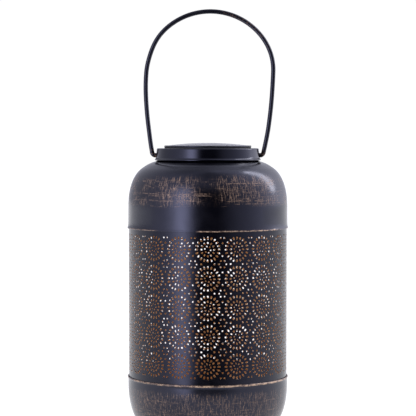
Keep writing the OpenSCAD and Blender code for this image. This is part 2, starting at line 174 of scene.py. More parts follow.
# ---------------------------------------------------------------- material tools
class Mat:
    def __init__(self, name):
        self.m = bpy.data.materials.new(name)
        self.m.use_nodes = True
        self.t = self.m.node_tree
        self.t.nodes.clear()
        self.out = self.t.nodes.new("ShaderNodeOutputMaterial")
        self.p = self.t.nodes.new("ShaderNodeBsdfPrincipled")
        self.t.links.new(self.p.outputs[0], self.out.inputs[0])
        self.co = self.t.nodes.new("ShaderNodeTexCoord").outputs["Object"]
        s = self.t.nodes.new("ShaderNodeSeparateXYZ")
        self.t.links.new(self.co, s.inputs[0])
        self.x, self.y, self.z = s.outputs

    def link(self, v, socket):
        if isinstance(v, bpy.types.NodeSocket):
            self.t.links.new(v, socket)
        else:
            socket.default_value = v

    def math(self, op, a, b=None, c=None, clamp=False):
        n = self.t.nodes.new("ShaderNodeMath")
        n.operation = op
        n.use_clamp = clamp
        for i, v in enumerate((a, b, c)):
            if v is not None:
                self.link(v, n.inputs[i])
        return n.outputs[0]

    def vec(self, x, y, z):
        n = self.t.nodes.new("ShaderNodeCombineXYZ")
        for i, v in enumerate((x, y, z)):
            self.link(v, n.inputs[i])
        return n.outputs[0]

    def scaled(self, sx, sy, sz, src=None):
        n = self.t.nodes.new("ShaderNodeVectorMath")
        n.operation = "MULTIPLY"
        self.link(src or self.co, n.inputs[0])
        n.inputs[1].default_value = (sx, sy, sz)
        return n.outputs[0]

    def noise(self, vec, scale=1.0, detail=2.0, rough=0.5, distortion=0.0, offset=None):
        if offset is not None:
            a = self.t.nodes.new("ShaderNodeVectorMath")
            a.operation = "ADD"
            self.link(vec, a.inputs[0])
            a.inputs[1].default_value = offset
            vec = a.outputs[0]
        n = self.t.nodes.new("ShaderNodeTexNoise")
        n.noise_dimensions = "3D"
        self.link(vec, n.inputs["Vector"])
        n.inputs["Scale"].default_value = scale
        n.inputs["Detail"].default_value = detail
        n.inputs["Roughness"].default_value = rough
        n.inputs["Distortion"].default_value = distortion
        return n.outputs[0]

    def step(self, v, lo, hi, to0=0.0, to1=1.0, smooth=True):
        n = self.t.nodes.new("ShaderNodeMapRange")
        n.interpolation_type = "SMOOTHSTEP" if smooth else "LINEAR"
        n.clamp = True
        self.link(v, n.inputs[0])
        for i, q in enumerate((lo, hi, to0, to1)):
            self.link(q, n.inputs[i + 1])
        return n.outputs[0]

    def band(self, v, a, b, c, d):
        return self.math("MULTIPLY", self.step(v, a, b), self.step(v, c, d, 1.0, 0.0))

    def mix(self, f, a, b):
        n = self.t.nodes.new("ShaderNodeMix")
        n.data_type = "RGBA"
        self.link(f, n.inputs[0])
        for v, s in ((a, n.inputs[6]), (b, n.inputs[7])):
            if isinstance(v, tuple) and len(v) == 3:
                v = v + (1.0,)
            self.link(v, s)
        return n.outputs[2]

    def lerp(self, f, a, b):
        return self.math("ADD", a, self.math("MULTIPLY", f, b - a))

    def bump(self, height, strength, distance, prev=None):
        n = self.t.nodes.new("ShaderNodeBump")
        n.inputs["Strength"].default_value = strength
        n.inputs["Distance"].default_value = distance
        self.link(height, n.inputs["Height"])
        if prev is not None:
            self.t.links.new(prev, n.inputs["Normal"])
        return n.outputs[0]

    def set(self, **kw):
        names = dict(color="Base Color", rough="Roughness", metal="Metallic", spec="Specular IOR Level", normal="Normal",
                     tint="Specular Tint", coat="Coat Weight", coat_rough="Coat Roughness", trans="Transmission Weight", ior="IOR",
                     alpha="Alpha", sss="Subsurface Weight", sheen="Sheen Weight", em="Emission Strength", emc="Emission Color")
        for k, v in kw.items():
            s = self.p.inputs[names[k]]
            if isinstance(v, tuple) and len(v) == 3 and s.type == "RGBA":
                v = v + (1.0,)
            self.link(v, s)
        return self.m


def round_dir(m):
    """Unit direction away from the body's axis, for patterns that run round it without a seam."""
    r = m.math("SQRT", m.math("ADD", m.math("MULTIPLY", m.x, m.x), m.math("MULTIPLY", m.y, m.y)))
    r = m.math("MAXIMUM", r, 1e-5)
    return m.math("DIVIDE", m.x, r), m.math("DIVIDE", m.y, r), r


BLACK = (0.0014, 0.0014, 0.0026)
COPPER = (0.31, 0.20, 0.135)
TINT = (0.70, 0.72, 1.0)


def rubbed_paint(name, region):
    """Satin black with a dry-brushed copper rub: crossed streaks in patches, and wear along rolled edges."""
    m = Mat(name)
    nx, ny, r = round_dir(m)
    R = 0.070
    across = m.vec(m.math("MULTIPLY", nx, R), m.math("MULTIPLY", ny, R), m.z)
    # thin lines round the body, and thin lines up and down it
    h1 = m.noise(m.scaled(90, 90, 1500, across), 1, 1.0, 0.5)
    h2 = m.noise(m.scaled(240, 240, 1150, across), 1, 1.0, 0.5, offset=(7, 3, 9))
    v1 = m.noise(m.scaled(1500, 1500, 190, across), 1, 1.0, 0.5, offset=(3, 8, 1))
    v2 = m.noise(m.scaled(1150, 1150, 110, across), 1, 1.0, 0.5, offset=(13, 2, 5))
    lines = m.noise(m.vec(0.37, 0.11, m.math("MULTIPLY", m.z, 520)), 1, 1.0, 0.5)
    patch = m.noise(m.scaled(48, 48, 70, across), 1, 2.0, 0.6, offset=(1.7, 4.2, 0.3))
    patch2 = m.noise(m.scaled(42, 42, 110, across), 1, 2.0, 0.6, offset=(6.1, 0.2, 8.3))
    grit = m.noise(m.co, 1100, 1.0, 0.5)
    turn = m.math("MULTIPLY", m.math("ARCTAN2", m.x, m.math("MULTIPLY", m.y, -1)), 180 / math.pi)
    behind = m.step(m.math("ABSOLUTE", turn), 68, 84)
    pv = m.step(patch, 0.47, 0.62)
    ph = m.step(patch2, 0.46, 0.61)
    if region == "dome":
        def place(a0, a1, z0, z1, soft=4.0, zs=0.0025):
            return m.math("MULTIPLY", m.band(turn, a0 - soft, a0 + soft, a1 - soft, a1 + soft), m.band(m.z, z0 - zs, z0 + zs, z1 - zs, z1 + zs))
        top = m.step(patch, 0.3, 0.6, 0.2125, 0.2275)
        wide = m.math("MULTIPLY", m.math("MAXIMUM", pv, 0.06), m.band(m.z, 0.1985, 0.203, 0.2215, 0.2285))
        spots = wide
        for box in ((-37, -26, 0.200, 0.214), (-17, -6, 0.202, 0.2245), (12, 56, 0.2155, 0.226), (14, 40, 0.204, 0.213),
                    (46, 60, 0.2015, 0.209), (-58, -50, 0.2125, 0.219)):
            spots = m.math("MAXIMUM", spots, m.math("MULTIPLY", place(*box), m.step(patch, 0.30, 0.50, 0.35, 1.0)))
        zone = spots
        hz = m.math("MULTIPLY", m.math("MAXIMUM", m.math("MAXIMUM", ph, 0.05), m.math("MULTIPLY", spots, 0.6)), m.band(m.z, 0.1975, 0.2005, 0.2205, 0.2245))
    elif region == "base":
        zone = m.math("MULTIPLY", m.step(m.z, 0.0385, 0.0425, 1.0, 0.0), m.math("MAXIMUM", pv, 0.55))
        hz = m.math("MULTIPLY", m.step(m.z, 0.0345, 0.0395, 1.0, 0.0), m.math("MAXIMUM", ph, 0.45))
    else:
        zone = hz = m.step(m.z, 0.0, 1.0, 0.0, 0.0)
    vs = m.math("MAXIMUM", m.step(v1, 0.57, 0.66), m.math("MULTIPLY", m.step(v2, 0.58, 0.67), 0.9))
    hs = m.math("MULTIPLY", m.math("MAXIMUM", m.step(h1, 0.56, 0.65), m.math("MULTIPLY", m.step(h2, 0.57, 0.66), 0.8)),
                m.step(lines, 0.45, 0.56, 0.15, 1.0))
    rub = m.math("ADD", m.math("MULTIPLY", m.math("MULTIPLY", vs, zone), 0.72), m.math("MULTIPLY", m.math("MULTIPLY", hs, hz), 0.56), None, True)
    if region == "dome":
        # a few long dry strokes that run round the shoulder
        drift = m.math("MULTIPLY", m.math("SUBTRACT", m.noise(m.scaled(22, 22, 8, across), 1, 1.0, 0.5, offset=(9, 1, 2)), 0.5), 0.0022)
        zd = m.math("ADD", m.z, drift)
        dash = m.step(m.noise(m.scaled(330, 330, 40, across), 1, 2.0, 0.6, offset=(1, 6, 6)), 0.42, 0.56)
        for zc, a0, a1, wgt in ((0.2193, 12, 58, 0.85), (0.2176, 34, 60, 0.5), (0.2106, -62, 4, 0.55), (0.2090, -44, 2, 0.6), (0.2120, -40, -22, 0.4),
                                (0.2052, -58, -12, 0.35), (0.2078, 40, 66, 0.5), (0.2044, 14, 60, 0.45), (0.2018, 20, 66, 0.6), (0.2112, 18, 64, 0.4)):
            stroke = m.math("MULTIPLY", m.band(zd, zc - 0.00055, zc - 0.0002, zc + 0.0002, zc + 0.00055),
                            m.band(turn, a0 - 3, a0 + 4, a1 - 4, a1 + 3))
            rub = m.math("MAXIMUM", rub, m.math("MULTIPLY", m.math("MULTIPLY", stroke, dash), wgt))
    rub = m.math("MULTIPLY", rub, m.step(grit, 0.36, 0.56, 0.30, 1.0))
    # worn rolled edge, with a wandering width and gaps
    wander = m.noise(m.scaled(170, 170, 60, across), 1, 3.0, 0.65, offset=(2, 2, 2))
    gaps = m.noise(m.scaled(60, 60, 10, across), 1, 3.0, 0.6, offset=(5, 9, 4))
    bits = m.noise(m.scaled(420, 420, 500, across), 1, 2.0, 0.6, offset=(4, 4, 8))
    if region == "dome":
        zz = m.math("SUBTRACT", m.z, m.math("MULTIPLY", m.math("SUBTRACT", wander, 0.5), 0.0014))
        along = m.math("MAXIMUM", m.math("MAXIMUM", m.band(turn, -9, -4, 64, 74), behind), m.math("MULTIPLY", m.step(turn, -42, -36, 1.0, 0.0), 0.5))
        edge = m.math("MULTIPLY", m.math("MULTIPLY", m.band(zz, 0.1781, 0.1785, 0.1793, 0.1798), along), m.step(gaps, 0.36, 0.50, 0.25, 1.0))
        rub = m.math("MAXIMUM", rub, m.math("MULTIPLY", edge, m.step(bits, 0.36, 0.56, 0.35, 0.85)))
    elif region == "base":
        zz = m.math("SUBTRACT", m.z, m.math("MULTIPLY", m.math("SUBTRACT", wander, 0.5), 0.0014))
        along = m.math("MAXIMUM", m.math("MAXIMUM", m.band(turn, -18, -12, 70, 80), behind), 0.75)
        edge = m.math("MULTIPLY", m.math("MULTIPLY", m.band(zz, 0.0465, 0.0469, 0.0480, 0.0485), along), m.step(gaps, 0.34, 0.48, 0.35, 1.0))
        rub = m.math("MAXIMUM", rub, m.math("MULTIPLY", edge, m.step(bits, 0.36, 0.56, 0.35, 0.9)))
    tone = m.noise(m.co, 60, 3.0, 0.6)
    black = m.mix(m.step(tone, 0.35, 0.7), BLACK, (0.0030, 0.0027, 0.0040))
    copper = m.mix(m.noise(m.co, 900, 2.0, 0.6), (0.27, 0.17, 0.108), (0.42, 0.28, 0.185))
    if region != "plain":
        copper = m.mix(m.math("MULTIPLY", edge, m.step(bits, 0.4, 0.6)), copper, (0.62, 0.43, 0.28))
    micro = m.noise(m.scaled(700, 700, 1800), 1, 2.0, 0.5)
    height = m.math("ADD", m.math("MULTIPLY", rub, 0.6), m.math("MULTIPLY", micro, 0.30))
    n1 = m.bump(height, 0.14, 0.00010)
    n2 = m.bump(m.noise(m.co, 95, 2.0, 0.5), 0.06, 0.0010, n1)
    return m.set(color=m.mix(rub, black, copper), metal=m.math("MULTIPLY", rub, 0.25), tint=TINT,
                 rough=m.math("ADD", m.math("MULTIPLY", rub, 0.25), m.step(tone, 0.3, 0.7, 0.17, 0.24)),
                 spec=0.42 if region == "plain" else 0.58, normal=n2)


def copper_inside(name="copper_inside"):
    m = Mat(name)
    mott = m.noise(m.co, 70, 4.0, 0.6)
    fine = m.noise(m.co, 1100, 2.0, 0.6)
    col = m.mix(m.step(mott, 0.3, 0.7), (0.72, 0.46, 0.22), (0.86, 0.59, 0.31))
    return m.set(color=col, metal=0.0, rough=m.step(fine, 0.3, 0.7, 0.42, 0.58), spec=0.5,
                 normal=m.bump(fine, 0.15, 0.0001))


def cut_edge(name="pierced_edge"):
    """The cut rim of a piercing: bare copper where it faces up, and a painted shade of dark brown where it faces down.
    """
    m = Mat(name)
    fine = m.noise(m.co, 1600, 2.0, 0.6)
    g = m.t.nodes.new("ShaderNodeNewGeometry")
    s = m.t.nodes.new("ShaderNodeSeparateXYZ")
    m.t.links.new(g.outputs["Normal"], s.inputs[0])
    # painted shade: rims that face down are coloured dark brown, and rims that face up are coloured pale copper
    lit_facing_up = m.step(s.outputs[2], -0.5, 0.55)
    light = m.mix(m.step(fine, 0.35, 0.65), (0.52, 0.35, 0.21), (0.82, 0.60, 0.40))
    return m.set(color=m.mix(lit_facing_up, (0.055, 0.030, 0.017), light), rough=m.step(fine, 0.3, 0.7, 0.36, 0.46), normal=m.bump(fine, 0.1, 0.0001))


def plain_black(name, base, lo, hi, bump_scale=900, bump=0.08, coat=0.0):
    m = Mat(name)
    f = m.noise(m.co, bump_scale, 2.0, 0.5)
    t = m.noise(m.co, 45, 3.0, 0.6)
    col = m.mix(m.step(t, 0.3, 0.7), base, tuple(c * 1.5 for c in base))
    return m.set(color=col, rough=m.step(t, 0.3, 0.7, lo, hi), spec=0.5, tint=TINT,
                 normal=m.bump(f, bump, 0.0001))


def wire_paint(name="wire_paint"):
    m = Mat(name)
    t = m.noise(m.co, 60, 3.0, 0.6)
    f = m.noise(m.co, 260, 2.0, 0.6)
    s = m.noise(m.scaled(700, 700, 700), 1, 2.0, 0.6)
    low = m.step(m.z, 0.2435, 0.249, 1.0, 0.0)
    crown = m.math("MULTIPLY", m.band(m.x, 0.004, 0.016, 0.052, 0.057), m.step(m.z, 0.330, 0.345))
    crown = m.math("MULTIPLY", crown, m.step(m.y, -0.0004, 0.0004, 0.0, 1.0))
    crown = m.math("MAXIMUM", crown, m.math("MULTIPLY", m.band(m.x, 0.010, 0.018, 0.052, 0.058), m.math("MULTIPLY", m.step(m.z, 0.330, 0.345), 0.35)))
    wear = m.math("MULTIPLY", m.math("MAXIMUM", low, m.math("MULTIPLY", crown, 0.75)), m.step(s, 0.53, 0.64))
    col = m.mix(wear, m.mix(m.step(t, 0.3, 0.7), (0.0018, 0.0018, 0.0026), (0.0035, 0.0032, 0.0045)), (0.30, 0.18, 0.11))
    return m.set(color=col, metal=m.math("MULTIPLY", wear, 0.35), rough=m.step(t, 0.3, 0.7, 0.22, 0.30), tint=TINT,
                 normal=m.bump(f, 0.04, 0.0001))


floor_mat = Mat("floor_paper")
floor_mat.set(color=floor_mat.mix(floor_mat.noise(floor_mat.co, 3, 2.0, 0.5), (0.34, 0.34, 0.34), (0.37, 0.37, 0.37)),
              rough=0.9, spec=0.0, emc=(1, 1, 1), em=0.80)
floor.data.materials.append(floor_mat.m)

M_dome = rubbed_paint("black_bronze_dome", "dome")
M_base = rubbed_paint("black_bronze_base", "base")
M_screen = rubbed_paint("black_bronze_screen", "plain")
M_in = copper_inside()
M_cut = cut_edge()
M_collar = plain_black("collar_satin", (0.0014, 0.0014, 0.0024), 0.11, 0.16, 500, 0.03)
M_wire = wire_paint()


# ---------------------------------------------------------------- mesh tools
def new_object(name, verts, faces, mats, index=None, sharp=None, smooth=True):
    me = bpy.data.meshes.new(name)
    me.from_pydata([tuple(v) for v in verts], [], faces)
    for mt in mats:
        me.materials.append(mt)
    if index is not None:
        me.polygons.foreach_set("material_index", np.asarray(index, np.int32))
    if smooth:
        me.polygons.foreach_set("use_smooth", np.ones(len(me.polygons), bool))
    me.validate()
    me.update()
    if sharp:
        me.set_sharp_from_angle(angle=math.radians(sharp))
    o = bpy.data.objects.new(name, me)
    scene.collection.objects.link(o)
    return o


def fbm(phi, k, seed):
    """Smooth, repeatable wander round a circle: a few harmonics with fixed phases."""
    rng = np.random.default_rng(seed)
    out = 0.0
    for i in range(1, k + 1):
        out = out + np.cos(i * phi + rng.uniform(0, 6.28)) * rng.uniform(0.4, 1.0) / i ** 0.7
    return out / 2.2


def lathe(name, loop, inner, segs, mats, wobble=None, sharp=38):
    """Turns a closed loop of (radius, height) in mm. inner[i] is the material of the band from point i to i + 1."""
    loop = np.array(loop, float)
    n = len(loop)
    phi = np.linspace(0, 2 * math.pi, segs, endpoint=False)
    verts, ids = [], np.zeros((n, segs), int)
    for i, (r, z) in enumerate(loop):
        if r < 1e-6:
            ids[i, :] = len(verts)
            verts.append((0, 0, z * MM))
            continue
        rr, zz = np.full(segs, r), np.full(segs, z)
        if wobble is not None:
            dr, dz = wobble(phi, r, z)
            rr, zz = rr + dr, zz + dz
        ids[i, :] = len(verts) + np.arange(segs)
        verts.extend(zip(rr * np.cos(phi) * MM, rr * np.sin(phi) * MM, zz * MM))
    faces, index = [], []
    for i in range(n):
        j = (i + 1) % n
        pi, pj = loop[i][0] < 1e-6, loop[j][0] < 1e-6
        if pi and pj:
            continue
        for k in range(segs):
            k2 = (k + 1) % segs
            if pi:
                f = (ids[i, 0], ids[j, k2], ids[j, k])
            elif pj:
                f = (ids[i, k], ids[i, k2], ids[j, 0])
            else:
                f = (ids[i, k], ids[i, k2], ids[j, k2], ids[j, k])
            faces.append(tuple(int(q) for q in f))
            index.append(inner[i])
    return new_object(name, verts, faces, mats, index, sharp)


def quarter(x0, z0, a, b, n, steps):
    t = np.linspace(0, math.pi / 2, steps + 1)
    return [(x0 + a * max(math.cos(q), 0) ** (2 / n), z0 + b * max(math.sin(q), 0) ** (2 / n)) for q in t]


def arc(cx, cz, r, a0, a1, steps):
    return [(cx + r * math.cos(math.radians(a)), cz + r * math.sin(math.radians(a))) for a in np.linspace(a0, a1, steps + 1)]


def bore_pivots(o):
    """Cuts the two pivot holes through a shell, so that the wire's end has its own clearance."""
    bm = bmesh.new()
    bmesh.ops.create_cone(bm, cap_ends=True, segments=32, radius1=0.00214, radius2=0.00214, depth=0.12,
                          matrix=Matrix.Translation((0, 0, 0.2427)) @ Matrix.Rotation(math.pi / 2, 4, "Y"))
    me = bpy.data.meshes.new("bore")
    bm.to_mesh(me)
    bm.free()
    tool = bpy.data.objects.new("bore_tool", me)
    scene.collection.objects.link(tool)
    md = o.modifiers.new("bore", "BOOLEAN")
    md.operation, md.solver, md.object = "DIFFERENCE", "EXACT", tool
    dg = bpy.context.evaluated_depsgraph_get()
    cut = bpy.data.meshes.new_from_object(o.evaluated_get(dg))
    o.modifiers.clear()
    old = o.data
    o.data = cut
    bpy.data.meshes.remove(old)
    bpy.data.objects.remove(tool)
    o.data.polygons.foreach_set("use_smooth", np.ones(len(o.data.polygons), bool))
    o.data.set_sharp_from_angle(angle=math.radians(38))


# ---------------------------------------------------------------- dome
outer = [(70.42, 178.62), (70.70, 178.60), (70.88, 178.78), (70.90, 179.05), (70.80, 179.45), (70.62, 180.1), (70.46, 181.0),
         (70.34, 182.4), (70.27, 184.4), (70.23, 187.5), (70.20, 191)]
outer += quarter(45, 195, 25.2, 40, 2.4, 44)[:-2]
outer += [(45.6, 235.0), (44.95, 235.12), (44.5, 235.4), (44.27, 235.9), (44.2, 236.6), (44.2, 240), (44.2, 246.6), (44.1, 246.9)]
inner_side = [(43.6, 246.9), (43.5, 246.6), (43.5, 240), (43.5, 236.4), (43.6, 235.6), (44.0, 234.9), (44.6, 234.62)]
inner_side += quarter(45, 195, 24.72, 39.5, 2.4, 30)[::-1][1:]
inner_side += [(69.73, 190), (69.76, 186), (69.86, 183), (70.02, 181), (70.2, 179.6), (70.3, 178.9)]
loop = outer + inner_side
k = len(outer)
# the shoulder still climbs a little where it meets the collar
loop = [(r_, z_ + (2.6 * ((56.5 - r_) / 11.5) ** 1.15 if r_ < 56.5 and z_ < 236.7 else 0.0)) if r_ > 45 else (r_, z_ + (2.6 if z_ < 236.7 else 0.0))
        for r_, z_ in loop]


def dome_wobble(phi, r, z):
    lip = max(0.0, 1 - (z - 178.6) / 3.2) if z < 182 else 0.0
    dz = lip * (0.16 * fbm(phi, 9, 3) + 0.10 * fbm(phi, 28, 5))
    dr = lip * 0.035 * np.clip(fbm(phi, 16, 7), -1, 0.0)
    return dr, dz


dome = lathe("dome_shell", loop, [0] * (k - 1) + [1] * (len(loop) - k + 1), 256, [M_dome, M_in], dome_wobble)
bore_pivots(dome)
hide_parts("shoulder_dome")
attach(dome, "lantern_body")

# ---------------------------------------------------------------- base
outer = [(69.84, 47.2), (69.90, 47.85), (70.12, 48.2), (70.45, 48.32), (70.74, 48.1), (70.88, 47.65), (70.86, 47.15),
         (70.68, 46.75), (70.48, 46.45), (70.36, 46.0), (70.32, 45.2)]
outer += [(r_, 44 - z_) for r_, z_ in quarter(45, 0, 25.3, 44, 2.4, 44)]
outer += [(43.0, 0.0), (41.4, 0.0), (40.9, 0.12), (40.3, 0.6), (39.8, 1.15), (39.2, 1.5), (38.2, 1.6), (28, 1.6), (14, 1.6), (0, 1.6)]
inner_side = [(0, 2.1), (14, 2.1), (28, 2.1), (38.4, 2.1), (39.6, 1.95), (40.4, 1.45), (41.0, 0.8), (41.8, 0.5), (43.4, 0.5)]
inner_side += [(r_, 44 - z_) for r_, z_ in quarter(45, 0, 24.8, 43.5, 2.4, 30)[::-1]]
loop = outer + inner_side
k = len(outer)


def base_wobble(phi, r, z):
    lip = max(0.0, 1 - abs(z - 47.5) / 1.6)
    dz = lip * (0.10 * fbm(phi, 9, 13) + 0.07 * fbm(phi, 30, 15))
    dr = lip * 0.02 * np.clip(fbm(phi, 24, 17), -1, 0.5) if r > 70.2 else 0.0
    return dr, dz


base = lathe("base_shell", loop, [0] * (k - 1) + [1] * (len(loop) - k + 1), 256, [M_base, M_in], base_wobble)
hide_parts("base_cup")
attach(base, "lantern_body")

# ---------------------------------------------------------------- collar
loop = arc(46.05, 238.95, 0.8, -160, 62, 12)
loop += [(46.22, 239.85), (46.02, 240.1), (45.88, 240.5), (45.78, 241.2), (45.06, 247.6)]
loop += arc(44.02, 247.86, 1.04, 8, 90, 8)
loop += [(42, 248.9), (39, 248.9), (37.3, 248.88), (37.0, 248.75), (36.92, 248.4), (36.9, 247.3), (36.92, 246.85), (37.1, 246.72),
         (37.3, 246.74), (37.48, 246.9), (37.5, 247.4), (37.52, 248.0), (37.7, 248.18), (39, 248.2), (43.6, 248.2),
         (44.22, 248.1), (44.38, 247.6), (45.1, 241.0), (45.15, 239.6)]
collar = lathe("collar_ring", loop, [0] * len(loop), 256, [M_collar], None, 50)
bore_pivots(collar)
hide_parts("neck_collar")
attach(collar, "lantern_body")


# ---------------------------------------------------------------- pierced screen
def slot_hole(cx, cy, ang, a, b):
    """Eight corners of a rounded slot, half-length a along ang and half-width b."""
    pts = [(a, -0.42 * b), (a, 0.42 * b), (0.52 * a, b), (-0.52 * a, b), (-a, 0.42 * b), (-a, -0.42 * b), (-0.52 * a, -b), (0.52 * a, -b)]
    c, s = math.cos(ang), math.sin(ang)
    return [(cx + c * x - s * y, cy + s * x + c * y) for x, y in pts]


R_OUT, R_IN = 69.70, 69.34
COL = 20.8
P = R_OUT * math.radians(COL)
Q = 24.9
Z_ROWS = [163.8 - Q * i for i in range(5)]
Z_LO, Z_HI = 44.6, 183.6
FIRST = -6  # the first column's place, the front one is 0


def build_strip():
    holes = []
    for zc in Z_ROWS:
        for i in range(20):
            a = math.radians(18 * i)
            holes.append(slot_hole(9.68 * math.cos(a), zc + 9.68 * math.sin(a), a, 1.25, 0.74))
        for i in range(12):
            a = math.radians(30 * i)
            holes.append(slot_hole(5.57 * math.cos(a), zc + 5.57 * math.sin(a), a, 0.99, 0.69))
        for i in range(6):
            a = math.radians(60 * i - 12)
            holes.append(slot_hole(2.57 * math.cos(a), zc + 2.57 * math.sin(a), a, 0.66, 0.60))
    for i in range(6):
        vc = Z_ROWS[0] + Q / 2 - Q * i
        for side in (-1, 1):
            ux = side * P / 2
            dots = []
            for kk in range(6):
                a = math.radians(60 * kk)
                dots.append((3.14 * math.cos(a), 3.14 * math.sin(a), 0.76))
            dots += [(7.1, 0, 0.80), (-7.1, 0, 0.80), (0, 7.1, 0.80), (0, -7.1, 0.80)]
            for dx, dy, rr in dots:
                u, v = ux + dx, vc + dy
                if i == 0 and dy > -1:
                    continue
                if i == 5 and dy < 1:
                    continue
                # each strip owns the dots left of its right-hand edge, and those from its left-hand edge on
                if side == 1 and dx > 0.5:
                    continue
                if side == -1 and dx < 0.5:
                    continue
                holes.append(slot_hole(u, v, 0.3, rr, rr * 0.96))
    # zigzag edge that passes between the dots
    rel = [(0, 0), (1.7, 0), (3.3, 0.15), (4.25, 1.3), (5.35, 1.42), (6.45, 1.3), (7.5, 0.2), (9.0, 0.0), (10.6, 0.0), (12.45, 0.0)]
    edge = {}
    for zc in Z_ROWS:
        for dv, du in rel:
            for sg in (1, -1):
                edge[round(zc + sg * dv, 3)] = du
    edge[Z_LO] = edge[Z_HI] = 0.0
    top = Z_ROWS[0] + Q / 2
    bot = Z_ROWS[-1] - Q / 2
    edge = {v: d for v, d in edge.items() if Z_LO <= v <= Z_HI}
    for v in (179.2, 181.4, 49.6, 47.2):
        edge[v] = 0.0
    ev = sorted(edge)
    pts, left, right = [], [], []
    for v in ev:
        left.append(len(pts))
        pts.append((-P / 2 + edge[v], v))
        right.append(len(pts))
        pts.append((P / 2 + edge[v], v))
    edges = []
    for i in range(len(ev) - 1):
        edges.append((left[i], left[i + 1]))
        edges.append((right[i], right[i + 1]))
    rows_top, rows_bot = [], []
    for v, store in ((Z_LO, rows_bot), (Z_HI, rows_top)):
        chain = [left[0 if v == Z_LO else -1]]
        for kk in range(1, 10):
            chain.append(len(pts))
            pts.append((-P / 2 + P * kk / 10, v))
        chain.append(right[0 if v == Z_LO else -1])
        edges += list(zip(chain[:-1], chain[1:]))
        store.extend(chain)
    for v in (176.6, 179.2, 181.4, 51.2, 49.6, 47.2):
        for kk in range(1, 10):
            pts.append((-P / 2 + P * (kk + (0.5 if v in (176.6, 51.2) else 0.0)) / 10.0 - (0.0 if v not in (176.6, 51.2) else 0.0), v))
    rims = []
    for h in holes:
        b = len(pts)
        pts += h
        rims.append(list(range(b, b + 8)))
        edges += [(b + q, b + (q + 1) % 8) for q in range(8)]
    # constrained triangulation of the strip's outline and piercing rims, in mm
    res = delaunay_2d_cdt([Vector(p_) for p_ in pts], edges, [], 0, 1e-5)
    vco, tris, orig = res[0], res[2], res[3]
    back = {}
    for new, old in enumerate(orig):
        for o_ in old:
            back[o_] = new
    vco = np.array([tuple(v) for v in vco])
    tri = np.array([t for t in tris if len(t) == 3], int)
    cen = vco[tri].mean(1)
    e_v, e_d = np.array(ev), np.array([edge[v] for v in ev])
    d = np.interp(cen[:, 1], e_v, e_d)
    keep = (cen[:, 0] > -P / 2 + d) & (cen[:, 0] < P / 2 + d)
    hc = np.array([np.mean(h, 0) for h in holes])
    for h, c in zip(holes, hc):
        near = np.where(keep & (np.abs(cen[:, 0] - c[0]) < 1.6) & (np.abs(cen[:, 1] - c[1]) < 1.6))[0]
        if not len(near):
            continue
        q = np.array(h)
        q2 = np.roll(q, -1, 0)
        e = q2 - q
        for t in near:
            w = cen[t] - q
            if np.all(e[:, 0] * w[:, 1] - e[:, 1] * w[:, 0] > 0):
                keep[t] = False
    tri = tri[keep]
    # counter-clockwise
    a, b, c = vco[tri[:, 0]], vco[tri[:, 1]], vco[tri[:, 2]]
    area2 = (b[:, 0] - a[:, 0]) * (c[:, 1] - a[:, 1]) - (b[:, 1] - a[:, 1]) * (c[:, 0] - a[:, 0])
    tri[area2 < 0] = tri[area2 < 0][:, ::-1]
    rims = [[back[q] for q in r_] for r_ in rims]
    return (vco, tri, rims, [back[q] for q in left], [back[q] for q in right],
            [back[q] for q in rows_bot], [back[q] for q in rows_top])


vco, tri, rims, left, right, row_bot, row_top = build_strip()
used = sorted(set(tri.ravel().tolist()) | set(left) | set(right))
NCOL = 17
left_set = {v: i for i, v in enumerate(left)}
right_set = {v: i for i, v in enumerate(right)}
uv, strip_id = [], []
col_right = None
first_left = None
for s in range(NCOL):
    ids = {}
    th0 = (FIRST + s) * P
    if s > 0:
        for v, i in left_set.items():
            ids[v] = col_right[i]
    for v in used:
        if v in ids:
            continue
        ids[v] = len(uv)
        uv.append((vco[v][0] + th0, vco[v][1]))
    col_right = [ids[v] for v in right]
    if s == 0:
        first_left = [ids[v] for v in left]
    strip_id.append(ids)
nv = len(uv)
turn = 2 * math.pi * R_OUT
gap_w = turn - NCOL * P
faces, index = [], []
walls = []
for s in range(NCOL):
    ids = strip_id[s]
    lut = np.full(len(vco), -1)
    for v, i in ids.items():
        lut[v] = i
    t = lut[tri]
    faces.append(t)
    for r_ in rims:
        g = [ids[q] for q in r_]
        walls += [(g[i], g[(i + 1) % 8]) for i in range(8)]
    walls += [(ids[b_], ids[a_]) for a_, b_ in zip(row_bot[:-1], row_bot[1:])]
    walls += [(ids[a_], ids[b_]) for a_, b_ in zip(row_top[:-1], row_top[1:])]
faces = [tuple(int(q) for q in f) for t in faces for f in t]
# lap seam: a plain strip, its outer sheet stands a little proud of the other
lift = {}
cols = [col_right]
STEPS = [0.06, 0.14, 0.5, 0.80, 0.86]
ev_left = [uv[i] for i in first_left]
ev_right = [uv[i] for i in col_right]
for f_, up in zip(STEPS, [0.0, 0.30, 0.32, 0.30, 0.0]):
    c_ = []
    for a_, b_ in zip(ev_right, ev_left):
        ua, ub = a_[0], b_[0] + turn
        c_.append(len(uv))
        if up:
            lift[len(uv)] = up
        uv.append((ua + (ub - ua) * f_, a_[1]))
    cols.append(c_)
cols.append(first_left)
for ca, cb in zip(cols[:-1], cols[1:]):
    for i in range(len(ca) - 1):
        faces.append((ca[i], cb[i], cb[i + 1], ca[i + 1]))
    walls.append((cb[0], ca[0]))
    walls.append((ca[-1], cb[-1]))
uv = np.array(uv)
nv = len(uv)
theta = uv[:, 0] / R_OUT - math.pi / 2
ro = np.full(nv, R_OUT)
for i, up in lift.items():
    fade = min(1.0, max(0.0, (180.0 - uv[i, 1]) / 2), max(0.0, (uv[i, 1] - 47.6) / 1.5))
    ro[i] += up * min(1.0, fade)
wob = 0.05 * fbm(theta, 5, 21)
ro = ro + wob - 0.02
ri = np.full(nv, R_IN) + wob - 0.02
cs, sn = np.cos(theta), np.sin(theta)
verts = np.concatenate([np.stack([ro * cs, ro * sn, uv[:, 1]], 1), np.stack([ri * cs, ri * sn, uv[:, 1]], 1)]) * MM
outer_f = faces
